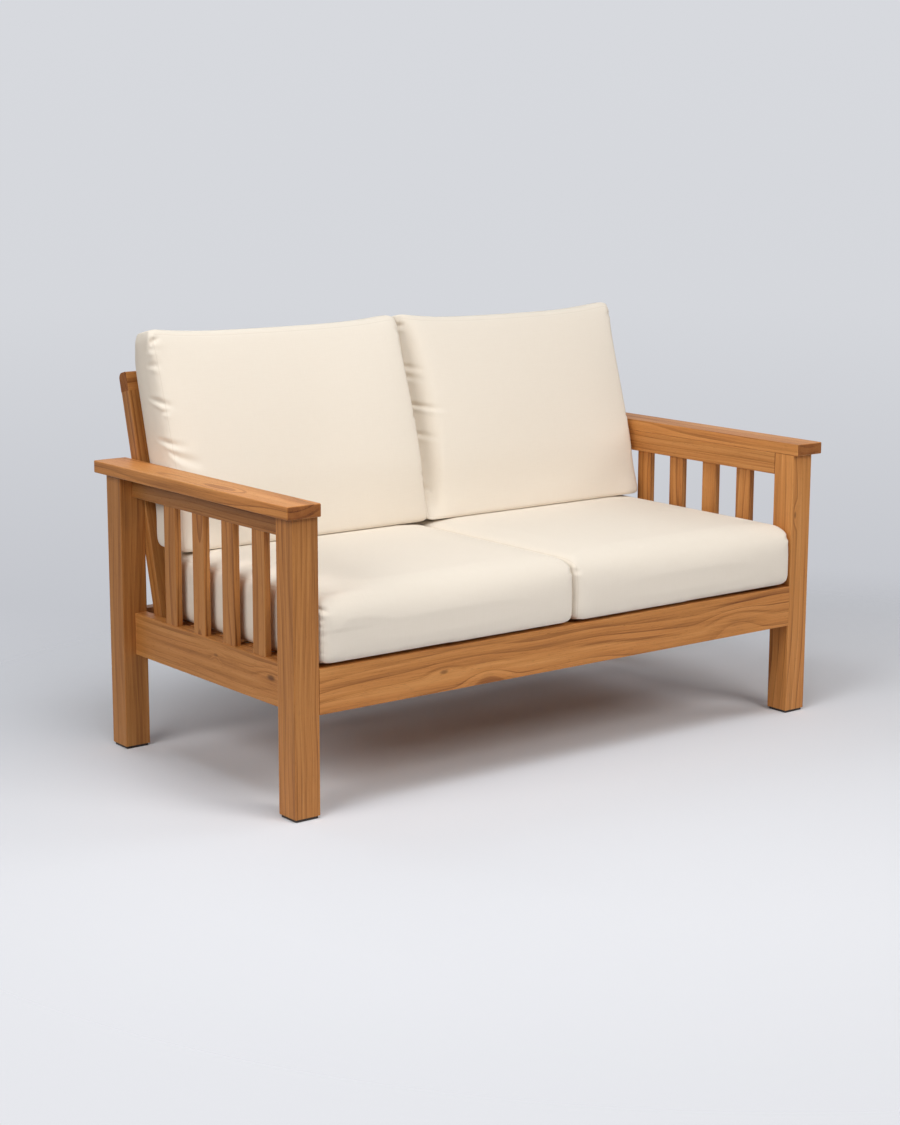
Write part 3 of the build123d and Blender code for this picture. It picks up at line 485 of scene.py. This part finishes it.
def creased(piece, where, across, along, folds):
    """The points of a piece, pressed in along short folds where it is asked for. Each fold is its start
    and end across, its start and end along, its width and its depth. It widens and fades towards its end."""
    rows = points(piece.data)
    normals = points(piece.data, "vertices", "normal")
    for start, end, low, high, width, depth in folds:
        length = math.hypot(end - start, high - low)
        share = ((across - start) * (end - start) + (along - low) * (high - low)) / length ** 2
        share = np.clip(share, 0, 1)
        aside = ((across - start) * (high - low) - (along - low) * (end - start)) / length
        beyond = np.hypot(across - start - share * (end - start), along - low - share * (high - low))
        off = np.sign(aside) * beyond / (width * (START_WIDTH_SHARE + WIDENING_SHARE * share))
        press = np.exp(-off * off) - HIGH_LIP_SHARE * np.exp(-(off - LIP_DISTANCE) ** 2)
        press = press - LOW_LIP_SHARE * np.exp(-(off + LIP_DISTANCE) ** 2)
        press = press * depth * (START_DEPTH_SHARE + (1 - START_DEPTH_SHARE) * step(share, 0.0, 0.3))
        press = press * (1 - step(share, 0.4, 1.0))
        rows = rows - normals * (press * where)[:, None]
    return rows


def pucker(piece, flat, half, left, right):
    """Presses folds into the front of a cushion beside its left and right edge. Across an edge, 0 is the
    edge, the front is above and the side below it. Along it is the height over the foot."""
    side = -(flat[:, 1] + half[1])
    across = np.where(side > SIDE_OF_EDGE, half[0] - np.abs(flat[:, 0]), side)
    for edge, folds in ((-1, left), (1, right)):
        place_points(piece, creased(piece, flat[:, 0] * edge > 0, across, flat[:, 2] + half[2], folds))


def finish_cushion(piece, kind, side):
    piece.data.materials.append(ivory_cloth.material)
    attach(piece, f"{kind}_cushion_{side}")
    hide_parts(f"{kind}_cover_{side}", f"{kind}_core_{side}")


IVORY = linear(243, 234, 221)
IVORY_DARK = linear(235, 224, 209)
IVORY_SEAM_SHADE = linear(196, 180, 160)
THREAD_PITCH = 0.0012
WARP_SLUBS = (35.0, 900.0, 900.0)
WEFT_SLUBS = (900.0, 35.0, 35.0)
SEAM_GROOVE_EDGE = (0.0004, 0.0018)
THREAD_DEPTH = 0.0004
ivory_cloth = Finish("ivory_cloth", Specular_IOR_Level=0.15, Sheen_Weight=0.12)
sewn = ivory_cloth.node("ShaderNodeAttribute", dict(attribute_name="sewn"), {}, "Vector")
slubs = ivory_cloth.noise(sewn, WARP_SLUBS, 2.0, 0.6) + ivory_cloth.noise(sewn, WEFT_SLUBS, 2.0, 0.6)
threads = [ivory_cloth.axis(sewn, number).wave(THREAD_PITCH) for number in range(3)]
weave = threads[0] * threads[1] + threads[1] * threads[2] + threads[0] * threads[2]
past_seam = ivory_cloth.node("ShaderNodeAttribute", dict(attribute_name="seam"), {}, "Vector")
seam_groove_and_shade = 1 - abs(ivory_cloth.axis(past_seam, 0)).between(*SEAM_GROOVE_EDGE)
tint = ivory_cloth.mix((slubs - 1.0) * 0.5 + 0.5, IVORY_DARK, IVORY)
# The seam line is tinted darker: painted shade that stands in for the shade in its groove. The bump below
# presses the groove itself in.
ivory_cloth.drive("Base Color", ivory_cloth.mix(seam_groove_and_shade * 0.22, tint, IVORY_SEAM_SHADE))
ivory_cloth.drive("Roughness", 0.82 + slubs * 0.06)
raised = slubs * 0.5 + weave * 0.2 - seam_groove_and_shade * 2.0
relief = {"Strength": 0.3, "Distance": THREAD_DEPTH, "Height": raised}
ivory_cloth.drive("Normal", ivory_cloth.node("ShaderNodeBump", {}, relief))

ZIP_MARGIN = 0.003
ZIP_COVER = 0.0005
SEAT_SWELL = 0.007
SEAT_SWELL_SHARE = 0.8
SEAT_FRONT_ROOM = 0.004
SEAT_FRONT_BELLY = 0.003
SEAT_WAIST_SHARE = 0.006
SEAT_FOOT_LIFT = 0.007
SEAT_INNER_ROUND = 0.009
SEAT_OUTER_ROUND = 0.014
SEAT_SOFT_EDGES = ((-1, 1, 0.042), (-1, -1, 0.010), (1, 1, 0.018))


def over_zip(rows, zip_low, zip_high, axes):
    """Which points lie over a zip, seen along the axis that isn't among the two axes."""
    near = (rows > zip_low - ZIP_MARGIN) & (rows < zip_high + ZIP_MARGIN)
    return near[:, axes].all(axis=1)


def softened(rows, half, edges):
    """The points of a block with edges from left to right rounded, each by its own radius. An edge is on the
    front (-1) or the rear (1), at the foot (-1) or the top (1)."""
    for depth, height, radius in edges:
        corner = np.array([half[1] - radius, half[2] - radius])
        reach = np.stack([rows[:, 1] * depth, rows[:, 2] * height], axis=1) - corner
        inside = (reach > 0).all(axis=1)
        scale = reach.max(axis=1) / np.maximum(np.linalg.norm(reach, axis=1), 1e-9)
        rows[:, 1] = np.where(inside, depth * (corner[0] + reach[:, 0] * scale), rows[:, 1])
        rows[:, 2] = np.where(inside, height * (corner[1] + reach[:, 1] * scale), rows[:, 2])
    return rows


def seat_cushion(side, left, right, hollows, slack):
    """left and right are folds beside the front's two edges, hollows are folds across the top."""
    low, high = corners(f"seat_cover_{side}")
    low[1] += SEAT_FRONT_ROOM
    high[2] -= SEAT_SWELL
    centre, half = (low + high) / 2, (high - low) / 2
    piece = block(f"seat_cushion_{side}", 2 * half)
    flat = points(piece.data)
    panel = np.minimum(half[1] - np.abs(flat[:, 1]), half[2] - np.abs(flat[:, 2]))
    seam = panel - (half[0] - np.abs(flat[:, 0]))
    inner = 1.0 if side == "left" else -1.0
    rows = rounded(flat, half, np.where(flat[:, 0] * inner > 0, SEAT_INNER_ROUND, SEAT_OUTER_ROUND))

    # u, v and w run from -1 to 1 from left to right, from front to rear and from foot to top.
    u, v, w = (rows / half).T
    rows = softened(rows, half, SEAT_SOFT_EDGES)
    crown = (1 - np.abs(u) ** 5) * (1 - np.clip(-v, 0, 1) ** 4)
    rows[:, 2] += SEAT_SWELL_SHARE * SEAT_SWELL * crown * step(w, -1.0, 1.0)
    rows[:, 2] += SEAT_FOOT_LIFT * step(-v, 0.84, 0.94) * step(-w, 0.4, 1.0)
    rows[:, 1] -= SEAT_FRONT_BELLY * (1 - np.abs(u) ** 4) * (1 - w ** 2) * step(-v, 0.0, 1.0)
    rows[:, 0] *= 1 - SEAT_WAIST_SHARE * (1 - v ** 4) * (1 - w ** 2)
    soft = step(-v, 0.60, 0.80) * step(w, -0.4, 0.4) * (1 - step(np.abs(u), 0.88, 1.0))
    rows += (averaged(piece.data, rows, FRONT_ROUNDS) - rows) * soft[:, None]
    place_points(piece, rows + centre)
    resting = flat[:, 2] < -half[2] + HELD_AT_FOOT
    inflate(piece, np.abs(seam), resting, gathered=1.0, pressure=2.0, slack=slack, fullness=0.5, cap=0.010)
    flat = refine(piece, flat, seam)
    pucker(piece, flat, half, left, right)
    rows = creased(piece, flat[:, 2] > 0, flat[:, 0] + half[0], flat[:, 1] + half[1], hollows)

    # The cloth stays inside the CAD solid's box and just in front of the zip.
    rows = np.clip(rows, *corners(f"seat_cover_{side}"))
    zip_low, zip_high = corners(f"seat_zip_{side}")
    at_zip = over_zip(rows, zip_low, zip_high, (0, 2)) & (rows[:, 1] > zip_low[1])
    rows[:, 1] = np.where(at_zip, zip_low[1] - ZIP_COVER, rows[:, 1])
    place_points(piece, rows)
    finish_cushion(piece, "seat", side)


seat_cushion(
    "left", slack=0.06,
    left=[(-0.020, 0.030, 0.128, 0.120, 0.007, 0.0045), (-0.015, 0.014, 0.101, 0.098, 0.004, 0.0014),
          (-0.015, 0.012, 0.084, 0.086, 0.003, 0.0012), (-0.015, 0.015, 0.066, 0.064, 0.004, 0.0014),
          (-0.015, 0.012, 0.048, 0.050, 0.003, 0.0010), (-0.015, 0.014, 0.030, 0.027, 0.004, 0.0012)],
    right=[(-0.010, 0.016, 0.118, 0.126, 0.006, 0.0025)],
    hollows=[(0.010, 0.170, 0.040, 0.085, 0.026, 0.0080), (0.005, 0.120, 0.160, 0.150, 0.030, 0.0050)])
seat_cushion(
    "right", slack=0.04,
    left=[(-0.012, 0.018, 0.116, 0.124, 0.006, 0.0025)],
    right=[(-0.012, 0.020, 0.120, 0.124, 0.006, 0.0030)],
    hollows=[(0.590, 0.500, 0.300, 0.330, 0.030, 0.0030)])


# Back cushions: two loose cushions of the same cloth that lean on the slats, thicker at the foot, with plump
# faces and soft corners. The side panels are gathered to the front one, which shows as short folds. The left
# one's inner edge stands in front of the right one's, and the top edges sag between their corners.
SLAT_GAP = 0.0008
BACK_FOOT_GAP = 0.0005
BACK_TOP = 0.927
BACK_HALF_THICKNESS = 0.062
BACK_HALF_HEIGHT = 0.235
BACK_FOOT_THICKNESS = 0.142
BACK_HEAD_THINNER = 0.026
BACK_BELLY = 0.012
BACK_FOOT_TUCK = 0.016
BACK_HEAD_TUCK = 0.034
BACK_REAR_DROP = 0.012
BACK_FOOT_ROUND = 0.014
BACK_HEAD_ROUNDER = 0.016
BACK_WIDTH_SHARE = 0.996
BACK_WAIST_SHARE = 0.014
EAR_HEIGHT = 0.006
EAR_WIDTH = 0.004
SIDE_DRAWN_SHARE = 0.2

# Depths are measured from the front of the legs, as in the CAD, and the origin lies ORIGIN_DEPTH behind it.
DECK_TOP = 0.306
BACK_COVER_FOOT = 0.4579
FACE_AT_DECK = 0.608
ORIGIN_DEPTH = 0.377435
REST_GAP = 0.0003
FACE_AT_FOOT = FACE_AT_DECK + (BACK_COVER_FOOT - DECK_TOP) * math.tan(BACK_LEAN) - REST_GAP - ORIGIN_DEPTH


def slat_face(height):
    """Where the back frame's face lies, less the rest gap, at a height over a back cushion's foot."""
    return FACE_AT_FOOT + height * math.tan(BACK_LEAN)


def back_cushion(side, left, right, forward, drawn, sag, slack):
    """left and right are folds beside the face's two edges. forward is how far the right edge swells to the
    front, drawn how far the left one is drawn back, and sag how deep the top edge hangs."""
    low, high = corners(f"back_cover_{side}")
    half = np.array([(high[0] - low[0]) / 2, BACK_HALF_THICKNESS, BACK_HALF_HEIGHT])
    piece = block(f"back_cushion_{side}", 2 * half)
    flat = points(piece.data)
    panel = np.minimum(half[0] - np.abs(flat[:, 0]), half[2] - np.abs(flat[:, 2]))
    seam = panel - (half[1] - np.abs(flat[:, 1]))
    aside = np.abs(flat[:, 0] / half[0])
    rows = rounded(flat, half, BACK_FOOT_ROUND + BACK_HEAD_ROUNDER * step(flat[:, 2] / half[2], -1.0, -0.6))
    u, v, w = (rows / half).T
    h = (w + 1) / 2
    bulge = (1 - w * w) ** 0.6
    ears = (aside * np.abs(flat[:, 2] / half[2])) ** 8

    # The height, with ears at the top corners and the top edge hanging between them and towards the rear.
    z = low[2] + BACK_FOOT_GAP + h * (BACK_TOP - sag * (1 - np.abs(u) ** 3) - low[2])
    z += EAR_HEIGHT * ears * step(w, 0.0, 1.0)
    z -= BACK_REAR_DROP * step(v, -0.6, 1.0) * step(w, 0.6, 1.0)

    # The depth, from the face of the slats to the face of the cushion, which is tucked in at foot and head.
    tuck = BACK_HEAD_TUCK * step(h, 0.72, 1.0) ** 2 * step(v, -1.0, 1.0)
    face = BACK_FOOT_THICKNESS - BACK_HEAD_THINNER * h + BACK_BELLY * (1 - u ** 4) * (1 - w * w)
    face += (forward * step(u, 0.1, 1.0) - drawn * step(-u, 0.84, 1.02)) * bulge
    face -= BACK_FOOT_TUCK * step(-w, 0.3, 1.0)
    depth = face * step(-v, -1.4, 1.0) - 0.5 * tuck * (1 - v) / 2
    y = slat_face(z - low[2]) - SLAT_GAP - tuck - depth / math.cos(BACK_LEAN)

    # The width, narrower at half height, with the left side drawn in where its edge is drawn back.
    x = (low[0] + high[0]) / 2 + rows[:, 0] * (BACK_WIDTH_SHARE - BACK_WAIST_SHARE * (1 - w ** 4))
    x += np.sign(u) * EAR_WIDTH * ears
    x += SIDE_DRAWN_SHARE * drawn * step(-u, 0.80, 1.0) * bulge * step(-v, -1.0, 1.0)
    place_points(piece, np.stack([x, y, z], axis=1))
    resting = flat[:, 2] < -half[2] + HELD_AT_FOOT
    gathered = step(aside, 0.7, 0.95)
    inflate(piece, np.abs(seam), resting, gathered, pressure=3.0, slack=slack, fullness=0.4, cap=0.020)
    flat = refine(piece, flat, seam)
    pucker(piece, flat, half, left, right)

    # The cloth stays inside the CAD solid's box, in front of the slats and just above the zip.
    rows = points(piece.data)
    rows[:, 0] = np.clip(rows[:, 0], low[0], high[0])
    rows[:, 2] = np.clip(rows[:, 2], low[2], high[2])
    rows[:, 1] = np.minimum(rows[:, 1], slat_face(rows[:, 2] - low[2]))
    zip_low, zip_high = corners(f"back_zip_{side}")
    at_zip = over_zip(rows, zip_low, zip_high, (0, 1)) & (rows[:, 2] < zip_high[2])
    rows[:, 2] = np.where(at_zip, zip_high[2] + ZIP_COVER, rows[:, 2])
    place_points(piece, rows)
    finish_cushion(piece, "back", side)


back_cushion(
    "left", forward=0.022, drawn=0.010, sag=0.011, slack=0.06,
    left=[(-0.030, 0.034, 0.436, 0.466, 0.007, 0.0060), (-0.040, 0.020, 0.424, 0.440, 0.006, 0.0045),
          (-0.045, 0.022, 0.392, 0.400, 0.006, 0.0035), (-0.055, 0.042, 0.322, 0.308, 0.006, 0.0055),
          (-0.020, 0.026, 0.296, 0.300, 0.005, 0.0030), (-0.050, 0.056, 0.236, 0.222, 0.006, 0.0050),
          (-0.015, 0.085, 0.212, 0.182, 0.008, 0.0050), (-0.040, 0.036, 0.130, 0.138, 0.006, 0.0030)],
    right=[(-0.030, 0.020, 0.430, 0.446, 0.006, 0.0025), (-0.040, 0.024, 0.250, 0.240, 0.006, 0.0022),
           (-0.030, 0.020, 0.110, 0.118, 0.005, 0.0020)])
back_cushion(
    "right", forward=0.004, drawn=0.058, sag=0.014, slack=0.06,
    left=[(-0.030, 0.030, 0.440, 0.452, 0.006, 0.0040), (-0.045, 0.060, 0.352, 0.346, 0.005, 0.0036),
          (-0.040, 0.050, 0.326, 0.324, 0.005, 0.0028), (-0.055, 0.100, 0.264, 0.256, 0.005, 0.0050),
          (-0.045, 0.064, 0.196, 0.190, 0.005, 0.0036), (-0.040, 0.032, 0.066, 0.072, 0.006, 0.0036)],
    right=[(-0.030, 0.018, 0.436, 0.448, 0.006, 0.0025), (-0.035, 0.020, 0.200, 0.196, 0.006, 0.0018)])


# Zips: a coil zip closes the rear of each seat cushion and the foot of each back cushion. Its ivory
# polyester tape is sewn into the cover, the coil is nylon, and the slider is a small zinc casting.
ZIP_TAPE = linear(226, 216, 200)
ZIP_TAPE_RIB = linear(196, 184, 166)
ZIP_COIL = linear(214, 203, 186)
ZIP_SLIDER = linear(176, 174, 168)
RIB_PITCH = 0.0015
COIL_EDGE = (0.0024, 0.0027)
SLIDER_EDGE = (0.0045, 0.0048)
SLIDER_START = (-0.0135, -0.013)
for kind, face in (("seat", 2), ("back", 1)):
    for side in ("left", "right"):
        node = f"{kind}_zip_{side}"
        low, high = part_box(node)
        middle = (low + high) / 2
        zip_cloth = Finish(f"zip_{kind}_{side}")
        where = zip_cloth.coordinates()
        along = zip_cloth.axis(where, 0)
        aside = abs(zip_cloth.axis(where, face) - middle[face])
        coil = 1 - aside.between(*COIL_EDGE)
        slider = (along - high[0]).between(*SLIDER_START) * (1 - aside.between(*SLIDER_EDGE))
        ribs = along.wave(RIB_PITCH)
        tint = zip_cloth.mix(coil, ZIP_TAPE, ZIP_COIL)
        tint = zip_cloth.mix(ribs * 0.2 + 0.2, tint, ZIP_TAPE_RIB)
        zip_cloth.drive("Base Color", zip_cloth.mix(slider, tint, ZIP_SLIDER))
        zip_cloth.drive("Roughness", 0.8 - coil * 0.35 - slider * 0.15 + ribs * 0.03)
        zip_cloth.drive("Metallic", slider * 1.0)
        coat(node, zip_cloth)


# Studio: a pale paper floor that fades into the backdrop, which is a little darker behind the seat than
# overhead and underfoot. Five soft boxes light the seat from above, from both sides, from the front and from
# behind. The camera takes the photo's view.
FLOOR_COLOUR = linear(229, 231, 237)
FLOOR_RADIUS = 2.8
FLOOR_FADE = (0.95, 2.3)
FLOOR_FADE_MIDDLE = (0.2, -0.45, 0)
bpy.ops.object.select_all(action="DESELECT")
bpy.ops.mesh.primitive_circle_add(vertices=96, radius=FLOOR_RADIUS, fill_type="NGON", location=(0, 0, 0))
floor = bpy.context.object
floor.name = "studio_floor"
paper = Finish("floor_paper", Base_Color=FLOOR_COLOUR, Roughness=0.9, Specular_IOR_Level=0.1)
away = paper.vector("DISTANCE", paper.coordinates(), FLOOR_FADE_MIDDLE, output="Value")
lit = Wire(paper, paper.shader.outputs[0])
clear = paper.node("ShaderNodeBsdfTransparent", {}, {})
faded = paper.node("ShaderNodeMixShader", {}, {0: away.between(*FLOOR_FADE), 1: lit, 2: clear})
paper.plug(faded, paper.nodes["Material Output"].inputs["Surface"])
floor.data.materials.append(paper.material)

SKY_STRENGTH = 0.06
SKY_BLUE_SHARE = 1.02
# The darker band just below the horizon is painted shade, where the floor meets the backdrop.
BACKDROP = [(0.05, linear(231, 232, 237)), (0.175, linear(228, 229, 234)), (0.24, linear(210, 212, 218)),
            (0.29, linear(196, 198, 204)), (0.42, linear(213, 215, 220)), (0.80, linear(219, 221, 226))]
studio = Finish("studio", "worlds", "Background")
bpy.context.scene.world = studio.material
height = studio.axis(studio.coordinates("Generated"), 2)
seen = studio.node("ShaderNodeValToRGB", dict(stops=BACKDROP), {0: height + 0.5})
looking = studio.node("ShaderNodeLightPath", {}, {}, "Is Camera Ray")
for ray in ("Is Glossy Ray", "Is Transmission Ray"):
    looking = studio.node("ShaderNodeLightPath", {}, {}, ray) + looking
sky = (SKY_STRENGTH, SKY_STRENGTH, SKY_STRENGTH * SKY_BLUE_SHARE, 1.0)
studio.drive("Color", studio.mix(looking, sky, seen))


def softbox(name, place, aim, width, height, power, colour):
    """A rectangular area light that faces a point."""
    bpy.ops.object.light_add(type="AREA", location=place)
    lamp = bpy.context.object
    lamp.name = name
    lamp.rotation_euler = (Vector(aim) - Vector(place)).to_track_quat("-Z", "Y").to_euler()
    lamp.data.shape = "RECTANGLE"
    lamp.data.size = width
    lamp.data.size_y = height
    lamp.data.energy = power
    lamp.data.color = colour


softbox("overhead_softbox", place=(-0.8, -1.0, 3.4), aim=(0, -0.1, 0), width=1.4, height=1.2, power=42.0,
        colour=(0.94, 0.975, 1.0))
softbox("left_softbox", place=(-3.2, -0.8, 2.1), aim=(0, 0, 0.2), width=2.4, height=1.6, power=58.0,
        colour=(1.0, 0.98, 0.95))
softbox("front_softbox", place=(0.6, -3.2, 2.7), aim=(0.1, 0, 0.2), width=1.6, height=1.4, power=53.5,
        colour=(1.0, 0.965, 0.92))
softbox("right_softbox", place=(3.0, -1.3, 2.6), aim=(0, 0, 0.2), width=1.6, height=1.6, power=24.0,
        colour=(1.0, 0.985, 0.97))
softbox("rear_softbox", place=(-0.6, 2.8, 3.3), aim=(0, 0.2, 0.2), width=2.6, height=2.0, power=24.0,
        colour=(1.0, 1.0, 1.0))

CAMERA_PLACE = (-3.0775, -3.9028, 1.3659)
CAMERA_TURN = (math.radians(78.81), math.radians(-0.15), math.radians(-37.81))
CAMERA_LENS = 71.1
bpy.ops.object.camera_add(location=CAMERA_PLACE, rotation=CAMERA_TURN)
bpy.context.object.data.lens = CAMERA_LENS
bpy.context.scene.camera = bpy.context.object
bpy.context.scene.view_settings.view_transform = "Standard"
